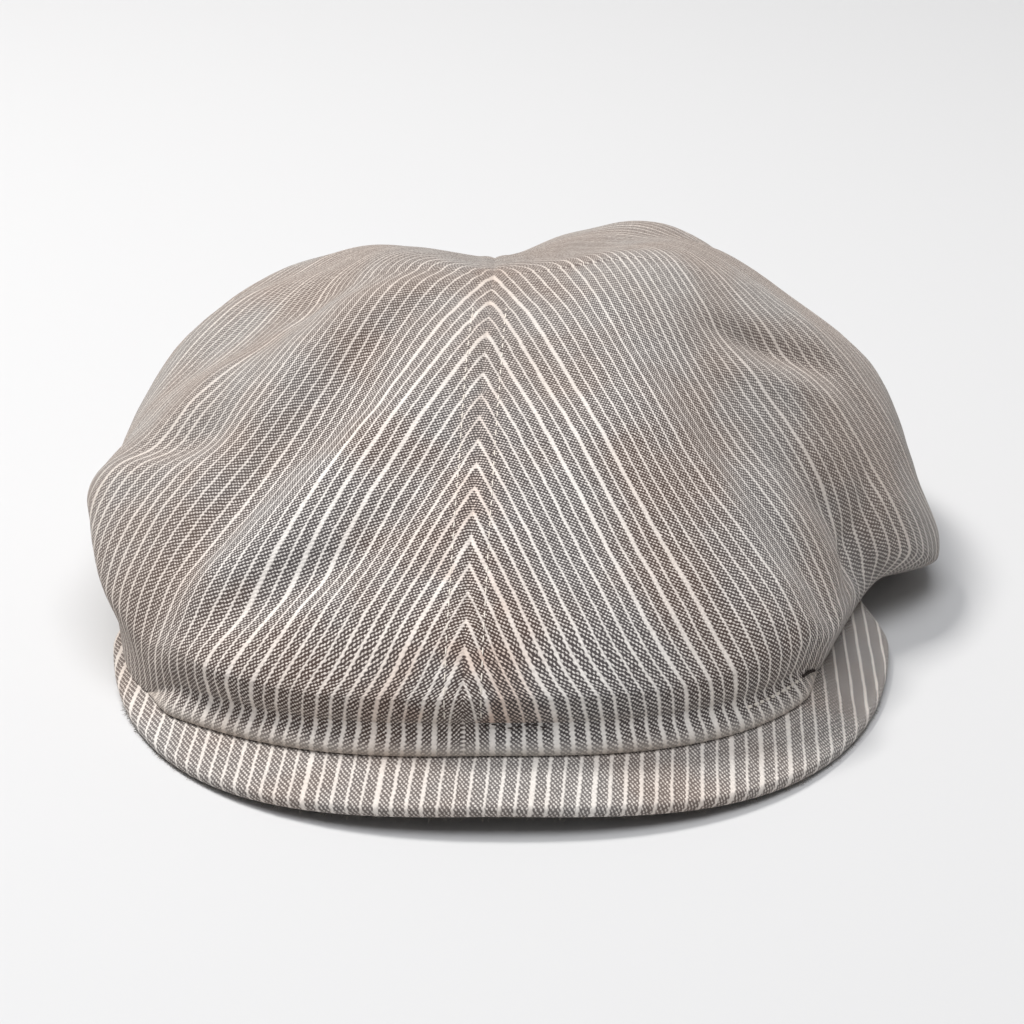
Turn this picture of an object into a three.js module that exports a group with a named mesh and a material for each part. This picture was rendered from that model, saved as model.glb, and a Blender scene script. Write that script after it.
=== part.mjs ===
import * as THREE from 'three';

// A flat cap of striped cotton cloth, lying by itself on a surface.
// Millimetres. +Z is up, the peak points to -Y, left and right are as seen from the front.
// Every height is over the surface, and every plan position is from the middle of the head opening.

// Crown sizes
const CROWN_HALF_WIDTH = 110;
const CROWN_FRONT = 133;
const CROWN_BACK = 118;
const CROWN_HEIGHT = 87.4;
const CLOTH = 2;
const SEAM_ANGLE = -3.7;

// Head opening sizes
const OPENING_HALF_WIDTH = 82;
const OPENING_FRONT = 98;
const OPENING_BACK = 94;

// Peak sizes. The peak lies PEAK_ASIDE towards +X from the middle of the crown.
const PEAK_LENGTH = 18;
const PEAK_INSET = 8;
const PEAK_ASIDE = 2;
const PEAK_THICK = 3.5;
const PEAK_DROOP = 22;
const PEAK_SLOPE = 0.3;
const HORN_FRONT = 30;
const HORN_WIDTH = 17;

// How far the sewn rim lies inside the crown's outline
const SEWN_SIDE_INSET = 11;
const SEWN_FRONT_INSET = 1.6;

// Band sizes
const BAND_TALL = 6.5;
const BAND_THICK = 2;
const BAND_FLARE = 0.8;

// The gap between touching pieces, and how far the cloth is pressed flat where it rests
const GAP = 0.3;
const PRESS = 1.6;

// Sizes that follow from those above
const PEAK_FRONT = CROWN_FRONT + PEAK_LENGTH;
const PEAK_HALF_WIDTH = CROWN_HALF_WIDTH - PEAK_INSET;
const SEWN_HALF_WIDTH = CROWN_HALF_WIDTH - SEWN_SIDE_INSET;
const SEWN_FRONT = CROWN_FRONT - SEWN_FRONT_INSET;

// Shapes without a length: angles in degrees from the front, exponents and shares
const BAND_END_ANGLE = 38;
const BAND_GONE_ANGLE = 46;
const HORN_END_ANGLE = 73;
const HORN_GONE_ANGLE = 88;
const HORN_TURN_ANGLE = 76;
const HORN_TAPER_SHARE = 0.07;
const BOX_LOW = 2.7;
const BOX_TOP = 2.13;
const BOX_SEWN = 2.4;
const BOX_BACK = 0.3;
const BOX_PEAK = 2.45;
const SIDE_BLEND_SHARE = 0.35;
const WAIST_RISE = 0.3;
const FOLD_START_RISE = 0.1;
const SLOPE_EASE_SHARE = 0.6;

// Steps of the facets
const TURNS = 36;
const RISES = 24;
const PEAK_STEPS = 48;
const PEAK_ROWS = 5;
const EDGE_STEPS = 4;

// The crown's upright sections, one each 30 degrees round from the front towards +X.
// reach is a share of the crown's outline. drop is how far the cloth falls below its waist and lift
// how high the free rim lies, shares of the crown's height. tuck is how far the cloth turns under,
// in quarter turns. full and crest are the exponents of the curve from the waist to the top.
const SECTION_COLUMNS = ['angle', 'reach', 'drop', 'tuck', 'lift', 'full', 'crest'];
const SECTION_ROWS = [
  [0, 1, 0.179, 0.3, 0, 1.5, 0.8],
  [30, 0.945, 0.179, 0.35, 0, 1.6, 0.76],
  [60, 0.92, 0.241, 0.5, 0, 1.87, 0.65],
  [90, 1.054, 0.065, 1.4, 0.04, 2.32, 0.44],
  [120, 1.041, 0.313, 1.1, 0, 1.89, 0.52],
  [150, 0.98, 0.305, 1, 0, 2.11, 0.63],
  [180, 0.96, 0.314, 1, 0, 1.65, 0.66],
  [210, 0.96, 0.314, 1, 0, 1.72, 0.59],
  [240, 0.95, 0.328, 1.1, 0, 2.35, 0.63],
  [270, 0.951, 0.288, 1.4, 0.06, 1.79, 0.69],
  [300, 0.935, 0.369, 0.5, 0, 1.87, 0.69],
  [330, 0.955, 0.179, 0.35, 0, 1.6, 0.76],
];

// The crown's main folds. angle and rise say where a fold's middle lies, lean how far its length
// turns from the level line, in degrees. high, long and wide are shares of the crown's height.
const FOLD_COLUMNS = ['angle', 'rise', 'lean', 'high', 'long', 'wide'];
const FOLD_ROWS = [
  [268, 0.87, 0, 0.03, 0.5, 0.22],
  [92, 0.82, 0, 0.085, 0.7, 0.28],
  [140, 0.72, 0, 0.04, 0.4, 0.26],
  [180, 0.75, 90, -0.06, 0.6, 0.17],
  [81, 0.31, 0, 0.09, 0.3, 0.17],
  [63, 0.36, 100, -0.06, 0.28, 0.1],
  [295, 0.34, 0, 0.06, 0.45, 0.2],
  [292, 0.55, 30, -0.035, 0.3, 0.13],
  [320, 0.7, 90, -0.02, 0.55, 0.1],
  [332, 0.53, 49, -0.016, 0.35, 0.08],
];

const radians = (degrees) => degrees * Math.PI / 180;
const clamp = (value, low, high) => Math.min(high, Math.max(low, value));
const mix = (from, to, share) => from + (to - from) * share;

function smooth(from, to, value) {
  const share = clamp((value - from) / (to - from), 0, 1);
  return share * share * (3 - 2 * share);
}

function rowsOf(columns, rows) {
  return rows.map((row) => Object.fromEntries(columns.map((name, index) => [name, row[index]])));
}

const SECTIONS = rowsOf(SECTION_COLUMNS, SECTION_ROWS);
const FOLDS = rowsOf(FOLD_COLUMNS, FOLD_ROWS);

// The angle's distance from the front, 0 to 180 degrees.
function fromFront(angle) {
  const turned = ((angle % 360) + 360) % 360;
  return Math.min(turned, 360 - turned);
}

// One smooth curve through a column of the sections.
function section(angle, column) {
  const count = SECTIONS.length;
  const place = (((angle % 360) + 360) % 360) * count / 360;
  const first = Math.floor(place);
  const share = place - first;
  const at = (step) => SECTIONS[(first + step + count) % count][column];
  const slopeIn = (at(1) - at(-1)) / 2;
  const slopeOut = (at(2) - at(0)) / 2;
  const bend = 3 * (at(1) - at(0)) - 2 * slopeIn - slopeOut;
  const twist = 2 * (at(0) - at(1)) + slopeIn + slopeOut;
  return at(0) + share * (slopeIn + share * (bend + share * twist));
}

// The radius of a rounded box at an angle from -Y.
function ring(angle, halfWidth, length, box) {
  const across = Math.abs(Math.sin(radians(angle))) / halfWidth;
  const along = Math.abs(Math.cos(radians(angle))) / length;
  return (across ** box + along ** box) ** (-1 / box);
}

// The peak's upper face over the surface, before it is let down to touch it.
function peakSheet(x, y) {
  const behind = y + PEAK_FRONT;
  const rise = PEAK_SLOPE * behind * (1 - SLOPE_EASE_SHARE * behind / PEAK_FRONT);
  return rise - PEAK_DROOP * ((x - PEAK_ASIDE) / PEAK_HALF_WIDTH) ** 2;
}

// The peak's outer edge, at an angle from -Y round the middle of the line between its horns.
function peakEdge(angle) {
  const drawnIn = 1 - HORN_TAPER_SHARE * smooth(HORN_TURN_ANGLE, 90, Math.abs(angle));
  const reach = drawnIn * ring(angle, PEAK_HALF_WIDTH, PEAK_FRONT - HORN_FRONT, BOX_PEAK);
  return [PEAK_ASIDE + reach * Math.sin(radians(angle)), -HORN_FRONT - reach * Math.cos(radians(angle))];
}

// Where the peak's flat faces end and its round edge starts.
function peakRim(angle) {
  const [x, y] = peakEdge(angle);
  const radius = PEAK_THICK / 2;
  return [x - radius * Math.sin(radians(angle)), y + radius * Math.cos(radians(angle))];
}

function lowestOfPeak() {
  let low = Infinity;
  for (let step = 0; step <= PEAK_STEPS; step += 1) {
    low = Math.min(low, peakSheet(...peakRim(-90 + 180 * step / PEAK_STEPS)));
  }
  return low;
}

const PEAK_LEVEL = PEAK_THICK - lowestOfPeak();
const peakTop = (x, y) => PEAK_LEVEL + peakSheet(x, y);

function planPoint(angle, radius) {
  return [radius * Math.sin(radians(angle)), -radius * Math.cos(radians(angle))];
}

// The crown without its folds. rise is 0 at the rim, WAIST_RISE where it is widest and 1 at the top.
function smoothCrown(angle, rise) {
  const facing = Math.cos(radians(angle));
  const front = smooth(-SIDE_BLEND_SHARE, SIDE_BLEND_SHARE, facing);
  const length = facing > 0 ? CROWN_FRONT : CROWN_BACK;
  const climb = clamp((rise - WAIST_RISE) / (1 - WAIST_RISE), 0, 1);
  const out = Math.cos(climb * Math.PI / 2);
  const boxAt = (share) => BOX_TOP + (BOX_LOW - BOX_TOP) * share * mix(BOX_BACK, 1, front);
  const reach = section(angle, 'reach');
  const radiusAt = (share) => reach * ring(angle, CROWN_HALF_WIDTH, length, boxAt(share));
  const waistRadius = radiusAt(1);

  const onPeak = 1 - smooth(HORN_END_ANGLE, HORN_GONE_ANGLE, fromFront(angle));
  const onBand = 1 - smooth(BAND_END_ANGLE, BAND_GONE_ANGLE, fromFront(angle));
  const openingLength = facing > 0 ? OPENING_FRONT : OPENING_BACK;
  const freeRim = ring(angle, OPENING_HALF_WIDTH, openingLength, 2);
  const sewnRim = ring(angle, SEWN_HALF_WIDTH, SEWN_FRONT, BOX_SEWN);
  const rimRadius = mix(freeRim, sewnRim, onPeak);
  const seat = peakTop(...planPoint(angle, sewnRim)) + GAP + onBand * (BAND_TALL + GAP);
  const rimHeight = mix(section(angle, 'lift') * CROWN_HEIGHT, seat, onPeak);

  const tuck = section(angle, 'tuck') * Math.PI / 2;
  const drop = section(angle, 'drop') * CROWN_HEIGHT;
  const waistHeight = rimHeight + drop * Math.sin(tuck);
  if (rise < WAIST_RISE) {
    const turned = (1 - rise / WAIST_RISE) * tuck;
    const under = (waistRadius - rimRadius) / (1 - Math.cos(tuck));
    const pressed = PRESS * (1 - rise / WAIST_RISE) * (1 - onPeak);
    const height = rimHeight + drop * (Math.sin(tuck) - Math.sin(turned)) - pressed;
    return new THREE.Vector3(...planPoint(angle, waistRadius - under * (1 - Math.cos(turned))),
      Math.max(0, height));
  }
  const curve = Math.max(0, 1 - out ** section(angle, 'full')) ** section(angle, 'crest');
  return new THREE.Vector3(...planPoint(angle, radiusAt(out * out) * out),
    mix(waistHeight, CROWN_HEIGHT, curve));
}

// Three directions on a surface at a point: level along it, up along it, and out of it.
function directions(surface, angle, rise) {
  const turnStep = 0.5;
  const riseStep = 0.004;
  const held = Math.min(rise, 1 - 2 * riseStep);
  const along = surface(angle + turnStep, held).sub(surface(angle - turnStep, held)).normalize();
  const low = Math.max(0, held - riseStep);
  const up = surface(angle, held + riseStep).sub(surface(angle, low)).normalize();
  const outward = along.clone().cross(up).normalize();
  return { along, up: outward.clone().cross(along).normalize(), outward };
}

const FOLD_PLACES = FOLDS.map((fold) => {
  const middle = smoothCrown(fold.angle, fold.rise);
  const { along, up, outward } = directions(smoothCrown, fold.angle, fold.rise);
  const lean = radians(fold.lean);
  const length = along.clone().multiplyScalar(Math.cos(lean)).addScaledVector(up, Math.sin(lean));
  const width = outward.clone().cross(length);
  return { middle, length, width, outward, ...fold };
});

// The crown's outer face.
function crown(angle, rise) {
  const point = smoothCrown(angle, rise);
  const moved = point.clone();
  const free = smooth(FOLD_START_RISE, WAIST_RISE, rise);
  for (const fold of FOLD_PLACES) {
    const from = point.clone().sub(fold.middle).divideScalar(CROWN_HEIGHT);
    const near = (from.dot(fold.length) / fold.long) ** 2 + (from.dot(fold.width) / fold.wide) ** 2
      + (from.dot(fold.outward) / fold.long) ** 2;
    moved.addScaledVector(fold.outward, free * fold.high * CROWN_HEIGHT * Math.exp(-near));
  }
  return moved;
}

function topNormal() {
  const sum = new THREE.Vector3();
  for (let angle = 0; angle < 360; angle += 45) {
    sum.add(directions(crown, angle, 0.97).outward);
  }
  return sum.normalize();
}

// A closed body from a list of points and the loops of points that bound its faces.
function body(name, points, faces, colour) {
  const geometry = new THREE.BufferGeometry();
  geometry.setAttribute('position', new THREE.Float32BufferAttribute(points.flatMap((p) => p.toArray()), 3));
  const triangles = [];
  for (const face of faces) {
    for (let corner = 1; corner < face.length - 1; corner += 1) {
      triangles.push(face[0], face[corner], face[corner + 1]);
    }
  }
  geometry.setIndex(triangles);
  geometry.computeVertexNormals();
  const material = new THREE.MeshStandardMaterial({ color: colour, roughness: 0.9, metalness: 0 });
  const mesh = new THREE.Mesh(geometry, material);
  mesh.name = name;
  return mesh;
}

// The angles of a half's columns of points.
function columns(fromAngle, toAngle) {
  return Array.from({ length: TURNS + 1 }, (_, step) => mix(fromAngle, toAngle, step / TURNS));
}

const RIGHT_COLUMNS = columns(SEAM_ANGLE, 180);
const LEFT_COLUMNS = columns(-180, SEAM_ANGLE);

// One half of the crown, a wall of cloth. The last point of each face is the top.
function crownHalf(name, angles, shift, colour) {
  const outside = [];
  const inside = [];
  const add = (point, outward) => {
    point.x += shift;
    outside.push(point);
    inside.push(point.clone().addScaledVector(outward, -CLOTH));
  };
  for (let level = 0; level < RISES; level += 1) {
    for (const angle of angles) {
      add(crown(angle, level / RISES), directions(crown, angle, level / RISES).outward);
    }
  }
  add(crown(0, 1), topNormal());

  const top = RISES * (TURNS + 1);
  const under = top + 1;
  const at = (level, step) => level === RISES ? top : level * (TURNS + 1) + step;
  const faces = [];
  for (let level = 0; level < RISES; level += 1) {
    for (let step = 0; step < TURNS; step += 1) {
      const square = [at(level, step), at(level, step + 1), at(level + 1, step + 1), at(level + 1, step)];
      const face = level === RISES - 1 ? square.slice(0, 3) : square;
      faces.push(face, face.map((corner) => corner + under).reverse());
    }
    const last = at(level, TURNS);
    const above = at(level + 1, TURNS);
    faces.push([last, last + under, above + under, above]);
    faces.push([at(level + 1, 0), at(level + 1, 0) + under, at(level, 0) + under, at(level, 0)]);
  }
  for (let step = 0; step < TURNS; step += 1) {
    faces.push([at(0, step + 1), at(0, step), at(0, step) + under, at(0, step + 1) + under]);
  }
  return body(name, [...outside, ...inside], faces, colour);
}

// A body swept through sections of the same count of points, closed at both ends.
function swept(name, sections, colour) {
  const count = sections[0].length;
  const faces = [];
  for (let step = 0; step < sections.length - 1; step += 1) {
    for (let corner = 0; corner < count; corner += 1) {
      const next = (corner + 1) % count;
      faces.push([step * count + corner, step * count + next, (step + 1) * count + next,
        (step + 1) * count + corner]);
    }
  }
  const first = [...Array(count).keys()];
  faces.push(first.slice().reverse());
  faces.push(first.map((corner) => (sections.length - 1) * count + corner));
  return body(name, sections.flat(), faces, colour);
}

// The peak's inner edge follows the front of the head opening between the horns.
function peakInner(angle) {
  const reach = ring(angle, PEAK_HALF_WIDTH - HORN_WIDTH, OPENING_FRONT - HORN_FRONT, 2);
  return [PEAK_ASIDE + reach * Math.sin(radians(angle)), -HORN_FRONT - reach * Math.cos(radians(angle))];
}

function peakSection(angle) {
  const radius = PEAK_THICK / 2;
  const [innerX, innerY] = peakInner(angle);
  const [endX, endY] = peakRim(angle);
  const top = [];
  const bottom = [];
  for (let row = 0; row < PEAK_ROWS; row += 1) {
    const x = mix(innerX, endX, row / PEAK_ROWS);
    const y = mix(innerY, endY, row / PEAK_ROWS);
    top.push(new THREE.Vector3(x, y, peakTop(x, y)));
    bottom.unshift(new THREE.Vector3(x, y, peakTop(x, y) - PEAK_THICK));
  }
  const edge = [];
  for (let step = 0; step <= EDGE_STEPS; step += 1) {
    const turned = Math.PI * step / EDGE_STEPS;
    edge.push(new THREE.Vector3(
      endX + radius * Math.sin(turned) * Math.sin(radians(angle)),
      endY - radius * Math.sin(turned) * Math.cos(radians(angle)),
      peakTop(endX, endY) - radius + radius * Math.cos(turned),
    ));
  }
  return [...top, ...edge, ...bottom];
}

// The band stands on the peak and reaches up to the crown's rim.
function bandSection(angle) {
  const { up, outward } = directions(crown, angle, 0);
  const topOuter = crown(angle, 0).addScaledVector(up, -GAP);
  const topInner = topOuter.clone().addScaledVector(outward, -BAND_THICK);
  const level = new THREE.Vector3(outward.x, outward.y, 0).normalize();
  const foot = (away) => {
    const point = topOuter.clone().addScaledVector(level, away);
    point.z = peakTop(point.x, point.y) + GAP;
    return point;
  };
  return [topOuter, foot(BAND_FLARE), foot(BAND_FLARE - BAND_THICK), topInner];
}

const peakAngles = Array.from({ length: PEAK_STEPS + 1 }, (_, step) => -90 + 180 * step / PEAK_STEPS);

// The band has its sections at the crown's own columns, so that its top follows the crown's rim.
const onBand = (angle) => fromFront(angle) <= BAND_END_ANGLE;
const bandAngles = [...LEFT_COLUMNS.filter(onBand), ...RIGHT_COLUMNS.slice(1).filter(onBand)];

const cap = new THREE.Group();
cap.add(crownHalf('crown_right', RIGHT_COLUMNS, GAP / 2, '#a59d98'));
cap.add(crownHalf('crown_left', LEFT_COLUMNS, -GAP / 2, '#b0a8a3'));
cap.add(swept('front_band', bandAngles.map(bandSection), '#b5a9a2'));
cap.add(swept('peak', peakAngles.map(peakSection), '#a9a29d'));

// The origin is the middle of the lowest level.
const bounds = new THREE.Box3().setFromObject(cap);
const middle = bounds.getCenter(new THREE.Vector3());
cap.position.set(-middle.x, -middle.y, -bounds.min.z);

export default cap;
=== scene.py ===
import math

import bmesh
import bpy
import numpy as np
from mathutils import Matrix, Vector


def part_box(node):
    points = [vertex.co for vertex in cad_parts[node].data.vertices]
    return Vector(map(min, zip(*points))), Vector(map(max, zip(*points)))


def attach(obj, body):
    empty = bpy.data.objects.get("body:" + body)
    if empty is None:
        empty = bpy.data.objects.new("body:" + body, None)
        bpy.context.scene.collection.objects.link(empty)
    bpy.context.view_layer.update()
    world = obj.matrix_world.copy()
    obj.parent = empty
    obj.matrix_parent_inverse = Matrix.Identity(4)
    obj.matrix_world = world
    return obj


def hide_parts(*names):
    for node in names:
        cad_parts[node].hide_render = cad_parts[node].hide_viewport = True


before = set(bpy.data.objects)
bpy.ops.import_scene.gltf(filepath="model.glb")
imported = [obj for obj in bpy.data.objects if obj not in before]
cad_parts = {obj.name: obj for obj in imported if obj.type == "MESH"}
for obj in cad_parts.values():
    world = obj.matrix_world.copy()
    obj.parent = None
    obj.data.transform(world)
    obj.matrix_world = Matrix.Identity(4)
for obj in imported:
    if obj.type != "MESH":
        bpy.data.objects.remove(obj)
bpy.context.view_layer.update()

# A flat cap of striped cotton cloth, its soft crown sewn down over a short stiff peak.
# Sizes are millimetres and angles degrees, unless a name or a comment says otherwise. The shape
# functions repeat those of the part's source, with x to the right, y to the back and z up from the
# middle of the head opening, and grid_object moves their points to the row frame.
# A place on the crown is an angle, from the front round to the right, and a rise, which is 0 at the
# sewn or turned-under rim, WAIST where the cloth bulges furthest, and 1 at the top.
MM = 0.001

# The crown and the head opening
CROWN_HALF_WIDTH = 110
CROWN_FRONT = 133
CROWN_BACK = 118
CROWN_HEIGHT = 87.4
SEAM_TURN = -3.0
OPENING_HALF_WIDTH = 82
OPENING_FRONT = 98
OPENING_BACK = 94
WAIST = 0.3
FOLD_START = 0.1
SIDE_BLEND = 0.35

# The peak, and its horns that run back under the crown
PEAK_FRONT = 151
PEAK_HALF_WIDTH = 102
PEAK_THICK = 3.5
PEAK_DROOP = 22
PEAK_SLOPE = 0.3
PEAK_ASIDE = 2
PEAK_END = 90
SLOPE_EASE = 0.6
HORN_FRONT = 30
HORN_WIDTH = 17
HORN_TURN = 76
HORN_TAPER = 0.07
HORN_END = 73
HORN_GONE = 88

# The line where the crown is sewn down, and the band between it and the peak
SEWN_HALF_WIDTH = 99
SEWN_FRONT = 131.4
BAND_TALL = 6.5
BAND_END = 38
BAND_GONE = 46
GAP = 0.3
PRESS = 1.6

# How square the outlines are: 2 is an oval, and more is squarer. BOX_BACK is the share that the
# crown's back keeps of what makes the low outline squarer than the top.
OVAL = 2
BOX_LOW = 2.7
BOX_TOP = 2.13
BOX_SEWN = 2.4
BOX_PEAK = 2.45
BOX_BACK = 0.3

# The design's origin in the row frame, from the peak's box
peak_low, peak_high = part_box("peak")
SHIFT = np.array([
    (peak_low[0] + peak_high[0]) / 2 / MM - PEAK_ASIDE,
    peak_low[1] / MM + PEAK_FRONT,
    0.0,
])

# The crown's section every 30 degrees from the front: the reach of its outline, how far the waist
# lies above the rim, how far the cloth tucks under, the rim's lift, and the fullness of the dome
SECTION_COLUMNS = ["reach", "drop", "tuck", "lift", "full", "crest"]
SECTIONS = np.array([
    [1, 0.179, 0.3, 0, 1.5, 0.8],
    [0.945, 0.179, 0.35, 0, 1.6, 0.76],
    [0.9, 0.241, 0.5, 0, 1.87, 0.65],
    [1.054, 0.065, 1.4, 0.04, 2.32, 0.44],
    [1.041, 0.313, 1.1, 0, 1.89, 0.52],
    [0.98, 0.305, 1, 0, 2.11, 0.63],
    [0.96, 0.314, 1, 0, 1.65, 0.66],
    [0.96, 0.314, 1, 0, 1.72, 0.59],
    [0.95, 0.328, 1.1, 0, 2.35, 0.63],
    [0.951, 0.288, 1.4, 0.06, 1.79, 0.69],
    [0.935, 0.369, 0.5, 0, 1.87, 0.69],
    [0.955, 0.179, 0.35, 0, 1.6, 0.76],
])

# The source's folds: angle, rise, lean of the fold's line, then its height (below 0 a valley),
# length and width as shares of CROWN_HEIGHT
FOLDS = [
    (268, 0.87, 0, 0.03, 0.5, 0.22),
    (92, 0.82, 0, 0.085, 0.7, 0.28),
    (140, 0.72, 0, 0.04, 0.4, 0.26),
    (180, 0.75, 90, -0.06, 0.6, 0.17),
    (81, 0.31, 0, 0.09, 0.3, 0.17),
    (63, 0.36, 100, -0.06, 0.28, 0.1),
    (295, 0.34, 0, 0.06, 0.45, 0.2),
    (292, 0.55, 30, -0.035, 0.3, 0.13),
    (320, 0.7, 90, -0.02, 0.55, 0.1),
    (332, 0.53, 49, -0.016, 0.35, 0.08),
]

# The smaller folds that only show in the cloth: height (below 0 a valley), width across, and the
# places on the crown that the fold's line goes through
CREASES = [
    (-3.0, 9.0, [(-12, 0.98), (-43, 0.92), (-38, 0.71), (-43, 0.46), (-50, 0.36)]),
    (2.2, 9.0, [(-40, 0.99), (-62, 0.9), (-53, 0.68), (-56, 0.46)]),
    (-2.6, 8.0, [(-4, 0.78), (-18, 0.62), (-33, 0.46), (-44, 0.34)]),
    (1.6, 8.0, [(-6, 0.9), (-24, 0.74), (-36, 0.56), (-46, 0.42)]),
    (-1.4, 6.0, [(-56, 0.66), (-67, 0.54), (-74, 0.46)]),
    (-1.0, 6.0, [(-78, 0.76), (-71, 0.66), (-60, 0.6)]),
    (-1.0, 5.0, [(-96, 0.82), (-84, 0.78), (-72, 0.78)]),
    (1.0, 6.0, [(-58, 0.58), (-66, 0.48), (-70, 0.42)]),
    (-2.2, 4.5, [(68, 0.74), (78, 0.67), (86, 0.6)]),
    (1.4, 5.0, [(62, 0.7), (72, 0.62), (80, 0.55)]),
    (-1.8, 4.0, [(72, 0.46), (62, 0.36), (52, 0.3)]),
    (0.9, 9.0, [(55, 0.9), (62, 0.76), (60, 0.62)]),
    (1.2, 4.0, [(40, 0.36), (50, 0.28), (60, 0.22)]),
    (-1.4, 6.0, [(120, 0.9), (128, 0.7), (120, 0.5)]),
    (-1.6, 7.0, [(150, 0.8), (160, 0.6), (152, 0.44)]),
    (-1.6, 7.0, [(-150, 0.85), (-158, 0.62), (-150, 0.42)]),
    (-1.4, 6.0, [(-112, 0.84), (-120, 0.64), (-112, 0.46)]),
]
# How deep a crease's two ends are in their sweep, and how bluntly it fades towards them
CREASE_TIP = 0.06
CREASE_FADE = 0.7

# Where the cloth's corners lie further out over the peak, or further in, than the source's:
# angle, width in degrees and share of the rim's radius
CORNERS = [(-50, 15, 0.045), (54, 13, -0.025)]

# The cloth's own unevenness: height, length of its waves and seed
BROAD_SWELL = (0.35, 34, 5)
FINE_SWELL = (0.13, 12, 6)
SWELL_WAVES = 9
SWELL_SPREAD = (0.8, 1.5)
SWELL_PEAK = 3.2

# The centre seam's relief: height, distance from the seam and width of the groove, the pressed
# allowance, the row of stitches and the gathers. The stitches lie SEAM_STEP apart, and their row
# dips between them by twice DIMPLE of its depth. The gathers come about GATHER_LONG apart.
TOPSTITCH = 4.4
SEAM_STEP = 3.3
DIMPLE = 0.4
STITCHED_RISES = (0.05, 0.93)
SEAM_GROOVE = (-0.3, 0, 0.7)
SEAM_ALLOWANCE = (0.2, 2.3, 1.7)
SEAM_ROW = (-0.2, TOPSTITCH, 0.7)
SEAM_GATHERS = (0.12, 4, 3.4)
GATHER_LONG = 7.3
GATHER_CHANGE = 11
SEAM_FADE = 0.06

# Steps for a direction on the crown, in degrees and in rise. The gentle one turns slowly past the
# waist, so that the relief doesn't fold over itself there, and gives way to the other above it.
TURN_STEP = 0.5
RISE_STEP = 0.004
GENTLE_STEP = 0.05
GENTLE_TO = (0.5, 0.7)

# The crown's mesh: its wall, and its steps round a half and up, closer together at the centre seam
WALL = 1.7
TURNS = 150
RISES = 170
SEAM_CROWDING = 1.7
SHARP_EDGE = 55
MERGE = 0.01

# How the crown's cloth is laid flat: the grid, the rise up to which the front seam is taken as
# straight, and the rows that give the stripes' slant at the waist, of which UPRIGHT runs on below
FLAT_TURNS = 48
FLAT_RISES = 48
FLAT_TOP = 0.985
STRAIGHT_SEAM = 0.75
SLOPE_ROWS = 3
UPRIGHT = 0.4
# Stripes meet at the seam within MATCHED_WIDTH of it. Nearer than EXACT_BESIDE they are worked out
# from the seam itself, up to EXACT_TOP of the front seam's length, and from EXACT_FOOT past the waist.
MATCHED_WIDTH = 85.0
EXACT_BESIDE = (15, 80)
EXACT_TOP = (1.02, 1.2)
EXACT_FOOT = (4, 26)

# The cloth's stripes: spacing, lean from the seam, and the half widths of the three kinds, with the
# chance values from which on a stripe is of the middle kind or the broad one
STRIPE_PITCH = 3.35
PEAK_PITCH = 3.7
STRIPE_LEAN = 25.0
THIN_STRIPE = 0.27
MIDDLE_STRIPE = 0.38
BROAD_STRIPE = 0.55
MIDDLE_FROM = 0.5
BROAD_FROM = 0.8
# How soft the stripes' edges are, how far the weave knobs them, and how pale their yarn is at least
STRIPE_EDGE = (0.25, -0.2)
RIB_EDGE = (0.5, -0.3)
STRIPE_KNOBS = 0.2
STRIPE_LIGHT = 0.9
STRIPE_GRAIN = 0.45
# The birdseye dots. The real ones lie about 1 mm apart and are drawn at that size. TWILL is how
# much stronger the weave is along one slant than the other.
DOT_SPACING = 1.12
TWILL = 0.12
DOT_EDGE = (0.05, 0.62)
DOT_LIGHT = 0.74
WEAVE_RELIEF = 0.045

# Unevenness of the yarn: cells a metre, detail, and how much it comes to in all, either side of 0.
# Cells are 6.3 mm for the drift of whole stripes, 2.3 and 1.4 mm for rows and threads, and 0.8 to
# 2 mm for single dots and the stripes' frayed edges.
STRIPE_DRIFT = (160.0, 2.0, 0.7)
ROW_DRIFT = (430.0, 2.0, 0.8)
THREAD_DRIFT = (700.0, 2.0, 0.6)
YARN_GRAIN = (1300.0, 1.0, 1.0)
DOT_GLINT = (800.0, 1.0, 0.9)
STRIPE_FRAY = (500.0, 2.0, 0.36)
# Clouds of colour 36 mm across and stains of 17 mm: cells a metre and detail
COLOUR_CLOUDS = (28.0, 3.0)
STAIN_CLOUDS = (60.0, 2.0)
STAIN_EDGE = (0.42, 0.62)
DARK_EDGE = (0.35, 0.68)
PALE_EDGE = (0.3, 0.7)
# How far the tint below darkens the dulled cloth, as a share of its fade: wear on the crown, and painted
# shade in the crease along the band's lower edge
WEAR_AND_SHADE_DARKENING = 0.8

# Washed yarn, from warm to cool, and what stains, wear and painted shade tint it with
DARK_YARN = ("#4d3d36", "#504b4b")
PALE_YARN = ("#f0e4da", "#f5f0ea")
STAIN_TINT = "#ecd5c8"
# The tint of dulled cloth: wear on the crown and the peak, painted shade on the band's lower edge
WEAR_AND_SHADE_TINT = "#dfd5c8"
SHEEN_TINT = "#e6e0da"

# Where the crown is worn and stained
LOW_WEAR = (0.5, 0.04, 0.05)
SIDE_WEAR = (0.9, 25, 75)
TOP_WEAR = (0.7, 0.7, 0.95)
STAIN_HEIGHT = (18, 26)
STAIN_WIDTH = (7, 16)
STAIN_SHARES = (0.35, 0.65)

# The peak's mesh, the fan of its stripes from a lean at its middle, and their unevenness along it
PEAK_TURNS = 260
PEAK_TOP_ROWS = 26
PEAK_EDGE_ROWS = 12
PEAK_LEAN = 5.0
PEAK_FAN = 5.5
PEAK_ALONG = 0.75

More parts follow.
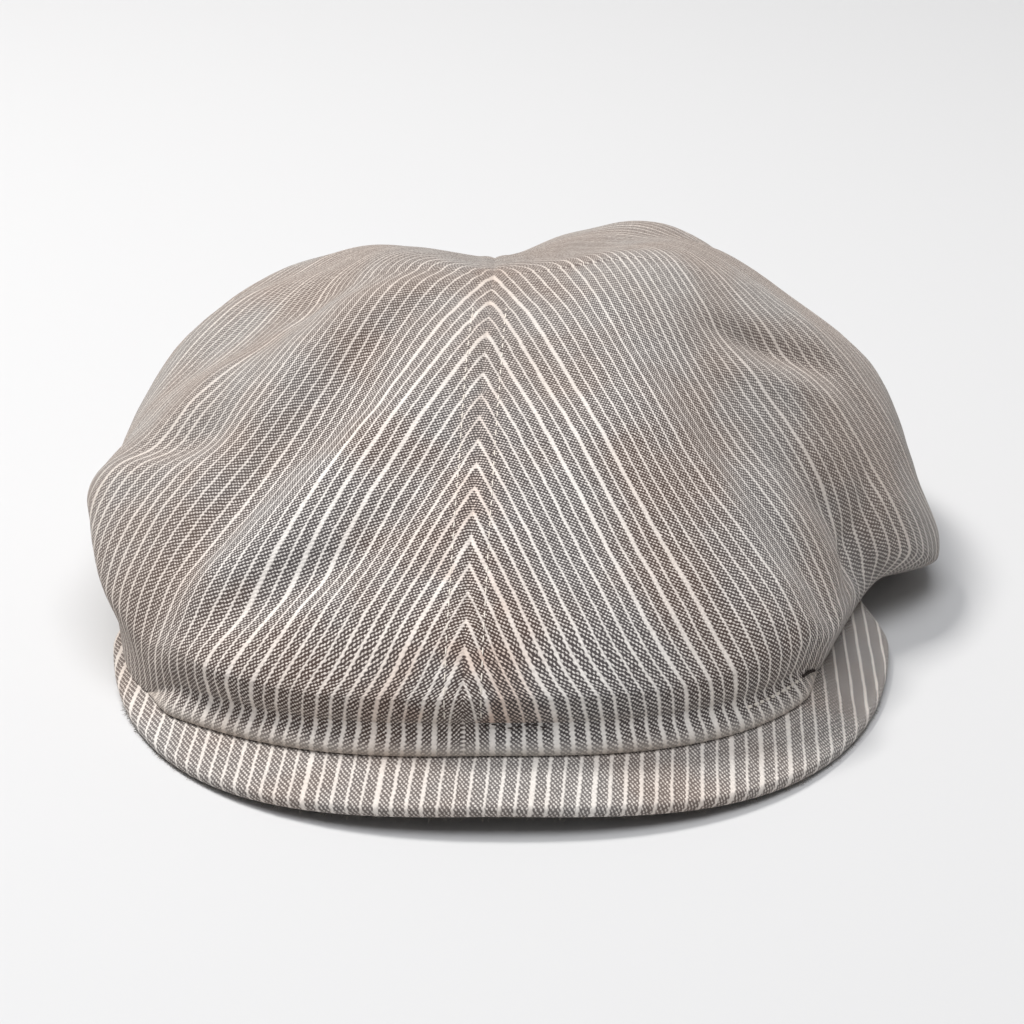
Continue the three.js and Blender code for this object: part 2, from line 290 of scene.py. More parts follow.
# The band's mesh, its rolled lip, and the pulls that curve its front: down from the crown, and out
# and up from the lip. BAND_DEEP is its depth, LEAST_BAND the share left of it at its ends.
BAND_TURNS = 220
BAND_ROWS = 14
ROLL_ROWS = 8
BAND_REACH = 45
BAND_FLARE = 3.2
LIP_RADIUS = 1.0
TOP_PULL = 2.5
LIP_PULL_OUT = 0.5
LIP_PULL_UP = 2.6
BAND_DEEP = 1.9
BACK_RUN = 2
LEAST_BAND = 0.1
LEAST_DEEP = 0.5
# Up to this height above the peak the band's lower edge is painted a pale brownish grey: painted light
# and painted shade
LIP_PAINTED_LIGHT_HEIGHT = 4.5

# Stitches are spindles of thread. STITCH_LIES is how high a stitch's middle lies over the cloth, as
# a share of its thickness, and STITCH_SPAN how far either side its direction is taken from. Those
# on the hem lie HEM_OUT proud of it, and more down the band's flare.
STITCH_LONG = 2.3
STITCH_THICK = 0.2
STITCH_LIES = 0.3
STITCH_SPAN = 0.3
STITCH_SIDES = 8
STITCH_RINGS = 6
HEM_OUT = 0.35
HEM_FLARE = 0.75

# Loose fibres on the peak's lower edge: how many, how thick at root and tip, how long, over which
# angles, how far down the edge as a share of its thickness, how far in they start, and how they fly
FIBRES = 420
FIBRE_THICK = 0.05
FIBRE_TIP = 0.3
FIBRE_LONG = (0.4, 1.5)
FIBRE_ANGLES = (-62, 62)
FIBRE_DEPTH = (0.55, 0.85)
FIBRE_SUNK = 0.3
FIBRE_SPREAD = np.array([0.6, 0.6, 0.45])
FIBRE_HANG = np.array([0, 0, -0.35])

# The stage and the camera, in metres
FLOOR_FRONT = 1.2
FLOOR_DEPTH = 1.6
FLOOR_BEND = 0.8
BEND_RADIUS = 0.5
WALL_RISE = 1.4
STAGE_HALF_WIDTH = 2.2
CAMERA_TARGET = (-0.0023, -0.0013, 0.0261)
CAMERA_DISTANCE = 0.95
CAMERA_ELEVATION = 24


def smooth(low, high, value):
    """A smooth step from 0 at low to 1 at high."""
    share = np.clip((value - low) / (high - low), 0, 1)
    return share * share * (3 - 2 * share)


def mix(low, high, share):
    return low + (high - low) * share


def bell(value, middle, width):
    return np.exp(-((value - middle) / width) ** 2)


def unit(vectors):
    return vectors / np.maximum(np.linalg.norm(vectors, axis=-1, keepdims=True), 1e-12)


def from_front(angle):
    """How far round from the front an angle lies, on either side."""
    turned = np.mod(angle, 360)
    return np.minimum(turned, 360 - turned)


def section(angle, column):
    """A column of SECTIONS at any angle, on a smooth closed curve through its rows."""
    values = SECTIONS[:, SECTION_COLUMNS.index(column)]
    count = len(values)
    place = np.mod(angle, 360) * count / 360
    first = np.floor(place).astype(int)
    share = place - first
    before, here = values[(first - 1) % count], values[first % count]
    after, beyond = values[(first + 1) % count], values[(first + 2) % count]
    slope_in = (after - before) / 2
    slope_out = (beyond - here) / 2
    bend = 3 * (after - here) - 2 * slope_in - slope_out
    twist = 2 * (here - after) + slope_in + slope_out
    return here + share * (slope_in + share * (bend + share * twist))


def ring(angle, half_width, length, box):
    """The radius at an angle of an outline with this half width, and this length to the front or back."""
    across = np.abs(np.sin(np.radians(angle))) / half_width
    along = np.abs(np.cos(np.radians(angle))) / length
    return (across ** box + along ** box) ** (-1 / box)


def peak_sheet(x, y):
    """The height of the peak's curved sheet, before PEAK_LEVEL is added."""
    behind = y + PEAK_FRONT
    rise = PEAK_SLOPE * behind * (1 - SLOPE_EASE * behind / PEAK_FRONT)
    return rise - PEAK_DROOP * ((x - PEAK_ASIDE) / PEAK_HALF_WIDTH) ** 2


def peak_reach(angle):
    """How far the peak's rim lies from the point between its horns that its angles turn about."""
    drawn_in = 1 - HORN_TAPER * smooth(HORN_TURN, PEAK_END, np.abs(angle))
    return drawn_in * ring(angle, PEAK_HALF_WIDTH, PEAK_FRONT - HORN_FRONT, BOX_PEAK)


def peak_point(angle, reach):
    turned = np.radians(angle)
    return PEAK_ASIDE + reach * np.sin(turned), -HORN_FRONT - reach * np.cos(turned)


# The peak's lowest edge lies on the table
rim_angles = np.linspace(-PEAK_END, PEAK_END, 49)
rim_places = peak_point(rim_angles, peak_reach(rim_angles) - PEAK_THICK / 2)
PEAK_LEVEL = PEAK_THICK - peak_sheet(*rim_places).min()


def peak_top(x, y):
    return PEAK_LEVEL + peak_sheet(x, y)


def plan_point(angle, radius):
    return radius * np.sin(np.radians(angle)), -radius * np.cos(np.radians(angle))


def smooth_crown(angle, rise):
    """The crown's outer face without folds: cloth tucked under up to the waist, and a dome above it."""
    angle, rise = np.broadcast_arrays(np.asarray(angle, float), np.asarray(rise, float))
    facing = np.cos(np.radians(angle))
    front = smooth(-SIDE_BLEND, SIDE_BLEND, facing)
    length = np.where(facing > 0, CROWN_FRONT, CROWN_BACK)
    climb = np.clip((rise - WAIST) / (1 - WAIST), 0, 1)
    out = np.cos(climb * math.pi / 2)
    reach = section(angle, "reach")

    def radius_at(share):
        box = BOX_TOP + (BOX_LOW - BOX_TOP) * share * mix(BOX_BACK, 1, front)
        return reach * ring(angle, CROWN_HALF_WIDTH, length, box)

    waist_radius = radius_at(1)
    on_peak = 1 - smooth(HORN_END, HORN_GONE, from_front(angle))
    on_band = 1 - smooth(BAND_END, BAND_GONE, from_front(angle))
    opening_length = np.where(facing > 0, OPENING_FRONT, OPENING_BACK)
    free_rim = ring(angle, OPENING_HALF_WIDTH, opening_length, OVAL)
    aside = np.mod(angle + 180, 360) - 180
    sewn_rim = ring(angle, SEWN_HALF_WIDTH, SEWN_FRONT, BOX_SEWN)
    for corner, width, share in CORNERS:
        sewn_rim = sewn_rim * (1 + share * bell(aside, corner, width))
    rim_radius = mix(free_rim, sewn_rim, on_peak)
    seat = peak_top(*plan_point(angle, sewn_rim)) + GAP + on_band * (BAND_TALL + GAP)
    rim_height = mix(section(angle, "lift") * CROWN_HEIGHT, seat, on_peak)
    tuck = section(angle, "tuck") * math.pi / 2
    drop = section(angle, "drop") * CROWN_HEIGHT
    waist_height = rim_height + drop * np.sin(tuck)

    to_waist = 1 - np.minimum(rise, WAIST) / WAIST
    turned = to_waist * tuck
    under = (waist_radius - rim_radius) / (1 - np.cos(tuck))
    pressed = PRESS * to_waist * (1 - on_peak)
    low_z = np.maximum(0, rim_height + drop * (np.sin(tuck) - np.sin(turned)) - pressed)
    low_x, low_y = plan_point(angle, waist_radius - under * (1 - np.cos(turned)))

    curve = np.maximum(0, 1 - out ** section(angle, "full")) ** section(angle, "crest")
    high_x, high_y = plan_point(angle, radius_at(out * out) * out)
    high_z = mix(waist_height, CROWN_HEIGHT, curve)
    tucked = np.stack([low_x, low_y, low_z], -1)
    dome = np.stack([high_x, high_y, high_z], -1)
    return np.where((rise < WAIST)[..., None], tucked, dome)


def directions(surface, angle, rise, step=RISE_STEP):
    """Unit vectors level along a surface, up along it, and out of it."""
    held = np.minimum(rise, 1 - 2 * step)
    along = unit(surface(angle + TURN_STEP, held) - surface(angle - TURN_STEP, held))
    up = unit(surface(angle, held + step) - surface(angle, np.maximum(0, held - step)))
    outward = unit(np.cross(along, up))
    return along, unit(np.cross(outward, along)), outward


def fold_place(angle, rise, lean, high, long, wide):
    """A fold's middle, its directions along, across and out of the cloth, and its sizes."""
    angle, rise = np.array(float(angle)), np.array(float(rise))
    along, up, outward = directions(smooth_crown, angle, rise)
    length = along * math.cos(math.radians(lean)) + up * math.sin(math.radians(lean))
    return smooth_crown(angle, rise), length, np.cross(outward, length), outward, high, long, wide


FOLD_PLACES = [fold_place(*fold) for fold in FOLDS]


def crown(angle, rise):
    """The crown's outer face, as in the part's source."""
    point = smooth_crown(angle, rise)
    moved = point.copy()
    free = smooth(FOLD_START, WAIST, np.broadcast_to(rise, point.shape[:-1]))
    for middle, length, width, outward, high, long, wide in FOLD_PLACES:
        away = (point - middle) / CROWN_HEIGHT
        near = (away @ length / long) ** 2 + (away @ width / wide) ** 2 + (away @ outward / long) ** 2
        moved += (free * high * CROWN_HEIGHT * np.exp(-near))[..., None] * outward
    return moved


def spline(points, count):
    """A smooth curve through a list of places, as count places."""
    points = np.array(points, float)
    ends = np.vstack([2 * points[0] - points[1], points, 2 * points[-1] - points[-2]])
    places = np.linspace(0, len(points) - 1 - 1e-6, count)
    first = places.astype(int)
    share = (places - first)[:, None]
    a, b, c, d = (ends[first + step] for step in range(4))
    bend = 2 * a - 5 * b + 4 * c - d
    twist = 3 * b - a - 3 * c + d
    return 0.5 * (2 * b + share * (c - a + share * (bend + share * twist)))


def nearest(points, line):
    """Each point's distance to a line of places, and how far along the line it is nearest."""
    best = np.full(points.shape[:-1], np.inf)
    along = np.zeros(points.shape[:-1])
    passed = 0.0
    for start, end in zip(line[:-1], line[1:]):
        run = end - start
        length = np.linalg.norm(run)
        share = np.clip((points - start) @ run / max(length * length, 1e-9), 0, 1)
        distance = np.linalg.norm(points - start - share[..., None] * run, axis=-1)
        closer = distance < best
        best[closer] = distance[closer]
        along[closer] = passed + share[closer] * length
        passed += length
    return best, along


def run_lengths(line):
    """How far along a line each of its places lies."""
    return np.append(0, np.cumsum(np.linalg.norm(np.diff(line, axis=0), axis=1)))


SEAM_RISES = np.linspace(0, 1, 130)
FRONT_SEAM = crown(SEAM_TURN, SEAM_RISES)
BACK_SEAM = crown(180.0, SEAM_RISES)
WHOLE_SEAM = np.concatenate([FRONT_SEAM, BACK_SEAM[-2::-1]])
FRONT_LENGTH = run_lengths(FRONT_SEAM)[-1]
WAIST_LENGTH = np.interp(WAIST, SEAM_RISES, run_lengths(FRONT_SEAM))


def swell(points, height, wave, seed):
    """A gentle random swell over space, up to about its height either way."""
    draw = np.random.default_rng(seed)
    total = np.zeros(points.shape[:-1])
    for _ in range(SWELL_WAVES):
        heading = unit(draw.normal(size=3)) * 2 * math.pi / (wave * draw.uniform(*SWELL_SPREAD))
        total += np.sin(points @ heading + draw.uniform(0, 2 * math.pi))
    return height * total / SWELL_PEAK


def seam_relief(points):
    """The stitched seam: a groove, the pressed allowance beside it, dimpled stitches and gathers."""
    away, along = nearest(points, WHOLE_SEAM)

    def bank(height, middle, width):
        return height * bell(away, middle, width)

    dimples = 1 - DIMPLE + DIMPLE * np.cos(2 * math.pi * along / SEAM_STEP)
    gathers = np.cos(2 * math.pi * along / GATHER_LONG + 2 * np.sin(along / GATHER_CHANGE))
    relief = bank(*SEAM_GROOVE) + bank(*SEAM_ALLOWANCE)
    return relief + bank(*SEAM_ROW) * dimples + bank(*SEAM_GATHERS) * gathers


def crease_relief(points):
    """The smaller folds, each deepest at its middle and fading to its ends."""
    height = np.zeros(points.shape[:-1])
    for depth, width, places in CREASES:
        line = spline(places, 30)
        fold_line = crown(line[:, 0], line[:, 1])
        away, along = nearest(points, fold_line)
        share = along / run_lengths(fold_line)[-1]
        sweep = np.sin(math.pi * mix(CREASE_TIP, 1 - CREASE_TIP, share)) ** CREASE_FADE
        height += depth * bell(away, 0, width) * sweep
    return height


def cloth_crown(angle, rise):
    """The crown's outer face with its smaller folds, the seam and the cloth's unevenness."""
    point = crown(angle, rise)
    _, _, outward = directions(crown, angle, rise)
    _, _, gentle = directions(crown, angle, rise, GENTLE_STEP)
    outward = unit(mix(gentle, outward, smooth(*GENTLE_TO, rise)[..., None]))
    height = swell(point, *BROAD_SWELL) + swell(point, *FINE_SWELL) + crease_relief(point)
    height *= smooth(FOLD_START, WAIST, rise)
    height += seam_relief(point) * smooth(0, SEAM_FADE, rise)
    moved = point + height[..., None] * outward
    moved[..., 2] = np.maximum(moved[..., 2], 0)
    return moved


def to_linear(code):
    """A colour in sRGB hex as linear RGBA."""
    values = [int(code[i:i + 2], 16) / 255 for i in (1, 3, 5)]
    return (*[v / 12.92 if v <= 0.04045 else ((v + 0.055) / 1.055) ** 2.4 for v in values], 1)


def node(tree, kind, inputs, out=0, **settings):
    """Adds a shader node and gives one of its outputs.

    inputs is input: value or output socket, and settings are the node's own properties.
    """
    made = tree.nodes.new("ShaderNode" + kind)
    for name, value in settings.items():
        setattr(made, name, value)
    for name, value in inputs.items():
        if isinstance(value, bpy.types.NodeSocket):
            tree.links.new(value, made.inputs[name])
        else:
            made.inputs[name].default_value = value
    return made.outputs[out]


def new_material(name, roughness):
    material = bpy.data.materials.new(name)
    material.use_nodes = True
    shader = material.node_tree.nodes["Principled BSDF"]
    shader.inputs["Roughness"].default_value = roughness
    return material, material.node_tree, shader


def striped_cloth(name, pitch, stain, fade, rib=0.12, wider=0.0, wear_and_painted_light_tone=0.36):
    """Washed cotton with a birdseye ground and pale stripes of uneven width, in the piece's cloth map.

    stain is how strong the brownish marks by the seam are, fade how much the mask of wear and painted
    light dulls the pattern, rib how high the stripes stand, and wider how much further out their edges
    lie.
    The last argument is how pale the dulled pattern gets, from dark yarn at 0 to pale yarn at 1: wear on
    the crown and the peak, and painted light on the band, which lifts a face that the lamps leave dark.
    """
    material, tree, shader = new_material(name, 0.92)
    place = node(tree, "TexCoord", {}, "Object")
    cloth = node(tree, "UVMap", {}, uv_map="cloth")
    map_across = node(tree, "SeparateXYZ", {0: cloth})
    map_along = map_across.node.outputs[1]

    def unevenness(scale, detail, size):
        cells = node(tree, "TexNoise", {"Vector": place, "Scale": scale, "Detail": detail})
        level = node(tree, "Math", {0: cells, 1: 0.5}, operation="SUBTRACT")
        return node(tree, "Math", {0: level, 1: size}, operation="MULTIPLY")

    def soft_step(value, low, high):
        return {"Value": value, "From Min": low, "From Max": high}

    across = node(tree, "Math", {0: map_across, 1: unevenness(*STRIPE_DRIFT)}, operation="ADD")
    along = node(tree, "Math", {0: map_along, 1: unevenness(*ROW_DRIFT)}, operation="ADD")
    shaken = node(tree, "Math", {0: across, 1: unevenness(*THREAD_DRIFT)}, operation="ADD")

    # Birdseye dots, where two slanting waves of the weave both rise
    weave = None
    for slant, share in (("ADD", 0.5 + TWILL), ("SUBTRACT", 0.5 - TWILL)):
        wave = node(tree, "Math", {0: shaken, 1: along}, operation=slant)
        wave = node(tree, "Math", {0: wave, 1: 2 * math.pi / DOT_SPACING}, operation="MULTIPLY")
        wave = node(tree, "Math", {0: wave}, operation="COSINE")
        wave = node(tree, "Math", {0: wave, 1: share}, operation="MULTIPLY")
        weave = wave if weave is None else node(tree, "Math", {0: weave, 1: wave}, operation="ADD")
    grain = unevenness(*YARN_GRAIN)
    uneven = node(tree, "Math", {0: weave, 1: grain}, operation="ADD")
    glint = node(tree, "Math", {0: unevenness(*DOT_GLINT), 1: DOT_LIGHT}, operation="ADD")
    dots = node(tree, "MapRange", soft_step(uneven, *DOT_EDGE), interpolation_type="SMOOTHSTEP")
    dots = node(tree, "Math", {0: dots, 1: glint}, operation="MULTIPLY")

    # Stripes pitch apart, each as wide as its number's chance says
    number = node(tree, "Math", {0: across, 1: pitch}, operation="DIVIDE")
    whole = node(tree, "Math", {0: number}, operation="FLOOR")
    chance = node(tree, "TexWhiteNoise", {"W": whole}, noise_dimensions="1D")
    away = node(tree, "Math", {0: number}, operation="FRACT")
    away = node(tree, "Math", {0: away, 1: 0.5}, operation="SUBTRACT")
    away = node(tree, "Math", {0: away}, operation="ABSOLUTE")
    away = node(tree, "Math", {0: away, 1: pitch}, operation="MULTIPLY")
    half = node(tree, "ValToRGB", {0: chance})
    steps = half.node.color_ramp
    steps.interpolation = "CONSTANT"
    steps.elements[0].color = (THIN_STRIPE, THIN_STRIPE, THIN_STRIPE, 1)
    steps.elements[1].position = MIDDLE_FROM
    steps.elements[1].color = (MIDDLE_STRIPE, MIDDLE_STRIPE, MIDDLE_STRIPE, 1)
    steps.elements.new(BROAD_FROM).color = (BROAD_STRIPE, BROAD_STRIPE, BROAD_STRIPE, 1)
    knobs = node(tree, "Math", {0: weave, 1: STRIPE_KNOBS}, operation="MULTIPLY")
    half = node(tree, "Math", {0: half, 1: knobs}, operation="ADD")
    half = node(tree, "Math", {0: half, 1: unevenness(*STRIPE_FRAY)}, operation="ADD")
    half = node(tree, "Math", {0: half, 1: wider}, operation="ADD")
    beyond = node(tree, "Math", {0: away, 1: half}, operation="SUBTRACT")
    stripe = node(tree, "MapRange", soft_step(beyond, *STRIPE_EDGE), interpolation_type="SMOOTHSTEP")
    yarn = node(tree, "Math", {0: grain, 1: STRIPE_GRAIN}, operation="MULTIPLY")
    yarn = node(tree, "Math", {0: yarn, 1: STRIPE_LIGHT}, operation="ADD")
    stripe = node(tree, "Math", {0: stripe, 1: yarn}, operation="MULTIPLY")

    # Wear on the crown, and painted light and painted shade on the band's lower edge, dull the pattern;
    # clouds of colour run through both yarns, and stains, wear and that painted shade tint them
    light = node(tree, "Math", {0: dots, 1: stripe}, operation="MAXIMUM")
    wear_and_painted_light = node(tree, "Attribute", {}, "Fac", attribute_name="wear_and_painted_light")
    dulled = node(tree, "Math", {0: wear_and_painted_light, 1: fade}, operation="MULTIPLY")
    light = node(tree, "Mix", {0: dulled, 2: light, 3: wear_and_painted_light_tone}, data_type="FLOAT")
    clouds = node(tree, "TexNoise", {
        "Vector": place, "Scale": COLOUR_CLOUDS[0], "Detail": COLOUR_CLOUDS[1],
    })
    yarns = []
    for edge, (warm, cool) in ((DARK_EDGE, DARK_YARN), (PALE_EDGE, PALE_YARN)):
        share = node(tree, "MapRange", soft_step(clouds, *edge), interpolation_type="SMOOTHSTEP")
        tones = {0: share, 6: to_linear(warm), 7: to_linear(cool)}
        yarns.append(node(tree, "Mix", tones, 2, data_type="RGBA"))
    colour = node(tree, "Mix", {0: light, 6: yarns[0], 7: yarns[1]}, 2, data_type="RGBA")
    patches = node(tree, "TexNoise", {
        "Vector": place, "Scale": STAIN_CLOUDS[0], "Detail": STAIN_CLOUDS[1],
    })
    patches = node(tree, "MapRange", soft_step(patches, *STAIN_EDGE), interpolation_type="SMOOTHSTEP")
    marks = node(tree, "Attribute", {}, "Fac", attribute_name="stain")
    marks = node(tree, "Math", {0: marks, 1: patches}, operation="MULTIPLY")
    marks = node(tree, "Math", {0: marks, 1: stain}, operation="MULTIPLY")
    wear_and_shade_share = node(tree, "Math", {0: wear_and_painted_light, 1: WEAR_AND_SHADE_DARKENING * fade}, operation="MULTIPLY")
    for share, tint in ((marks, STAIN_TINT), (wear_and_shade_share, WEAR_AND_SHADE_TINT)):
        tones = {0: share, 6: colour, 7: to_linear(tint)}
        colour = node(tree, "Mix", tones, 2, data_type="RGBA", blend_type="MULTIPLY")
    tree.links.new(colour, shader.inputs["Base Color"])

    # The stripes stand up as ribs, and the weave roughens the whole
    raised = node(tree, "MapRange", soft_step(beyond, *RIB_EDGE), interpolation_type="SMOOTHSTEP")
    raised = node(tree, "Math", {0: raised, 1: rib}, operation="MULTIPLY")
    height = node(tree, "Math", {0: weave, 1: WEAVE_RELIEF}, operation="MULTIPLY")
    height = node(tree, "Math", {0: height, 1: raised}, operation="ADD")
    bump = node(tree, "Bump", {"Height": height, "Strength": 0.8, "Distance": MM})
    tree.links.new(bump, shader.inputs["Normal"])
    shader.inputs["Sheen Weight"].default_value = 0.25
    shader.inputs["Sheen Roughness"].default_value = 0.6
    shader.inputs["Sheen Tint"].default_value = to_linear(SHEEN_TINT)
    shader.inputs["Specular IOR Level"].default_value = 0.15
    return material


def as_object(name, work):
    """Turns a finished bmesh into an object of the scene."""
    mesh = bpy.data.meshes.new(name)
    work.to_mesh(mesh)
    work.free()
    piece = bpy.data.objects.new(name, mesh)
    bpy.context.collection.objects.link(piece)
    return piece


def grid_object(name, points):
    """A grid of points as an object. The grid comes from bmesh and its vertices are then placed."""
    rows, columns = points.shape[:2]
    grid = bmesh.new()
    bmesh.ops.create_grid(grid, x_segments=columns - 1, y_segments=rows - 1, size=1)
    grid.verts.ensure_lookup_table()
    placed = ((points + SHIFT) * MM).reshape(-1, 3)
    for vertex, place in zip(grid.verts, placed):
        vertex.co = place
    return as_object(name, grid)


def corner_vertices(mesh):
    """The vertex of each of a mesh's face corners."""
    corners = np.empty(len(mesh.loops), dtype=np.int32)
    mesh.loops.foreach_get("vertex_index", corners)
    return corners


def set_cloth_map(mesh, places):
    """Gives each corner the cloth place of its vertex, in mm."""
    layer = mesh.uv_layers.new(name="cloth")
    spread = places.reshape(-1, 2)[corner_vertices(mesh)]
    layer.data.foreach_set("uv", spread.astype(np.float32).ravel())


def set_attribute(mesh, name, values):
    layer = mesh.attributes.new(name, "FLOAT", "POINT")
    layer.data.foreach_set("value", values.astype(np.float32).ravel())


def smooth_faces(obj, material):
    obj.data.materials.append(material)
    obj.data.polygons.foreach_set("use_smooth", np.ones(len(obj.data.polygons), dtype=bool))


def merged(mesh):
    """A bmesh of a mesh, with the vertices that meet made one."""
    work = bmesh.new()
    work.from_mesh(mesh)
    bmesh.ops.remove_doubles(work, verts=work.verts, dist=MERGE * MM)
    return work


def climbed(turns, rises):
    """How far up the crown's face from its rim each rise lies, a column for each turn."""
    points = crown(*np.meshgrid(turns, rises))
    steps = np.linalg.norm(np.diff(points, axis=0), axis=-1)
    return np.concatenate([np.zeros((1, len(turns))), np.cumsum(steps, axis=0)])


def waist_and_top(climb, rises):
    """How far up the waist and FLAT_TOP lie, for each column."""
    return np.array([np.interp([WAIST, FLAT_TOP], rises, column) for column in climb.T]).T


def cell_areas(points):
    across = points[:-1, 1:] - points[:-1, :-1]
    up = points[1:, :-1] - points[:-1, :-1]
    if points.shape[-1] == 2:
        return np.abs(across[..., 0] * up[..., 1] - across[..., 1] * up[..., 0])
    return np.linalg.norm(np.cross(across, up), axis=-1)


def unrolled(points):
    """The flat places of a grid of the cloth's points, to the same area."""
    piece = grid_object("unrolling", points)
    bpy.context.view_layer.objects.active = piece
    piece.select_set(True)
    bpy.ops.object.mode_set(mode="EDIT")
    bpy.ops.mesh.select_all(action="SELECT")
    bpy.ops.uv.unwrap(method="MINIMUM_STRETCH", margin=0.0, correct_aspect=False)
    bpy.ops.object.mode_set(mode="OBJECT")
    mesh = piece.data
    spread = np.empty(len(mesh.loops) * 2, dtype=np.float32)
    mesh.uv_layers.active.data.foreach_get("uv", spread)
    flat = np.zeros((len(mesh.vertices), 2))
    flat[corner_vertices(mesh)] = spread.reshape(-1, 2)
    bpy.data.objects.remove(piece)
    bpy.data.meshes.remove(mesh)
    flat = flat.reshape(points.shape[:2] + (2,))
    return flat * math.sqrt(cell_areas(points).sum() / cell_areas(flat).sum())


def at_grid(values, row, column):
    """Values of a coarse grid between its lines, at fractional rows and columns."""
    row = np.clip(row, 0, values.shape[0] - 1 - 1e-6)
    column = np.clip(column, 0, values.shape[1] - 1 - 1e-6)
    r, c = row.astype(int), column.astype(int)
    down, right = (row - r)[..., None], (column - c)[..., None]
    top = values[r, c] * (1 - right) + values[r, c + 1] * right
    bottom = values[r + 1, c] * (1 - right) + values[r + 1, c + 1] * right
    return top * (1 - down) + bottom * down


def half_turns(side, shares):
    """Angles a share of the way round a half, from the front seam to the back one."""
    return SEAM_TURN + side * shares * (180 - side * SEAM_TURN)


def laid_to_seam(flat, rise, lengths):
    """Flat places as their distance out from the front seam and their distance up along it."""
    seam = flat[:, 0]
    straight = rise[:, 0] < STRAIGHT_SEAM
    upward = np.polyfit(lengths[straight], seam[straight], 1)[0]
    upward /= np.linalg.norm(upward)
    outward = np.array([upward[1], -upward[0]])
    if (flat[:, FLAT_TURNS // 3] - seam)[straight].mean(0) @ outward < 0:
        outward = -outward
    foot = seam[straight].mean(0) - upward * lengths[straight].mean()
    return np.stack([(flat - foot) @ outward, (flat - foot) @ upward], -1)


def leaned(out, up):
    """The cloth's places across its stripes and along them, from places out from the seam and up it."""
    lean = math.radians(STRIPE_LEAN)
    across = out * math.cos(lean) + up * math.sin(lean)
    along = up * math.cos(lean) - out * math.sin(lean)
    return np.stack([across, along], -1)


def cloth_places(side, turns, rises):
    """The cloth's own coordinates over a half, the size that it is cut to, and its area, in metres.

    The half is unrolled flat from its waist up, and the pattern leans STRIPE_LEAN from the front
    seam, the same way out from it on both halves, so the stripes meet there. Below the waist the
    stripes run on, a share UPRIGHT as slanted.
    """
    coarse_turns = half_turns(side, np.linspace(0, 1, FLAT_TURNS))
    climb = climbed(coarse_turns, rises)
    low, high = waist_and_top(climb, rises)
    levels = mix(low, high, np.linspace(0, 1, FLAT_RISES)[:, None])
    columns_of_rises = [np.interp(level, column, rises) for level, column in zip(levels.T, climb.T)]
    rise = np.stack(columns_of_rises, 1)
    solid = crown(np.broadcast_to(coarse_turns, rise.shape), rise)
    flat = laid_to_seam(unrolled(solid), rise, levels[:, 0])

    places = leaned(flat[..., 0], flat[..., 1])
    astray = leaned(0, levels[:, 0]) - places[:, 0]
    from_seam = flat[..., 0] - flat[:, :1, 0]
    places += astray[:, None] * (1 - smooth(0, MATCHED_WIDTH, from_seam))[..., None]
    slope = (places[0] - places[SLOPE_ROWS]) / (levels[SLOPE_ROWS] - levels[0])[:, None]
    slope[:, 0] *= UPRIGHT
    # The last row is the cloth's middle at the top, where all columns meet
    crest = np.broadcast_to(places[-1].mean(0), (1,) + places[-1].shape)
    places = np.concatenate([places, crest])

    fine_climb = climbed(turns, rises)
    fine_low, fine_high = waist_and_top(fine_climb, rises)
    body = np.clip((fine_climb - fine_low) / (fine_high - fine_low), 0, 1) * (FLAT_RISES - 1)
    cap = np.clip((fine_climb - fine_high) / (fine_climb[-1] - fine_high), 0, 1)
    columns = np.abs(turns - SEAM_TURN) / (180 - side * SEAM_TURN) * (FLAT_TURNS - 1)
    columns = np.broadcast_to(columns, body.shape)
    below = np.maximum(0, fine_low - fine_climb)
    run_on = at_grid(np.stack([slope, slope]), np.zeros_like(columns), columns)
    fine_places = at_grid(places, body + cap, columns) + run_on * below[..., None]

    # Beside the front seam the pattern is worked out from the seam itself, so its chevrons are sharp
    fine = crown(*np.meshgrid(turns, rises))
    beside, upward = nearest(fine, WHOLE_SEAM)
    top_start, top_end = (FRONT_LENGTH * share for share in EXACT_TOP)
    foot_start, foot_end = (WAIST_LENGTH + past for past in EXACT_FOOT)
    exactly = (1 - smooth(*EXACT_BESIDE, beside)) * (1 - smooth(top_start, top_end, upward))
    exactly *= smooth(foot_start, foot_end, upward)
    size = np.ptp(flat.reshape(-1, 2), axis=0) + np.array([0, low[0]])
    fine_places = mix(fine_places, leaned(beside, upward), exactly[..., None])
    return fine_places, size * MM, cell_areas(fine).sum() * MM * MM


def thicken(work):
    """Gives an open surface its inner face, WALL inside, and closes the edges between the two."""
    work.normal_update()
    outer = [(vertex, vertex.normal.copy()) for vertex in work.verts]
    edges = [edge for edge in work.edges if edge.is_boundary]
    made = bmesh.ops.duplicate(work, geom=work.verts[:] + work.edges[:] + work.faces[:])
    inner = made["vert_map"]
    for vertex, normal in outer:
        inner[vertex].co = vertex.co - normal * (WALL * MM)
    inner_faces = [part for part in made["geom"] if isinstance(part, bmesh.types.BMFace)]
    bmesh.ops.reverse_faces(work, faces=inner_faces)
    for edge in edges:
        loop = edge.link_loops[0]
        first, last = loop.vert, loop.link_loop_next.vert
        work.faces.new((last, first, inner[first], inner[last]))
    work.normal_update()


def crown_wear(angle, rise):
    """How worn the crown is: low at the front, at its sides, and on top."""
    share, middle, width = LOW_WEAR
    low = share * bell(rise, middle, width) * (from_front(angle) < HORN_END)
    aside = SIDE_WEAR[0] * smooth(*SIDE_WEAR[1:], from_front(angle))
    top = TOP_WEAR[0] * smooth(*TOP_WEAR[1:], rise)
    return np.maximum(np.maximum(low, aside), top)


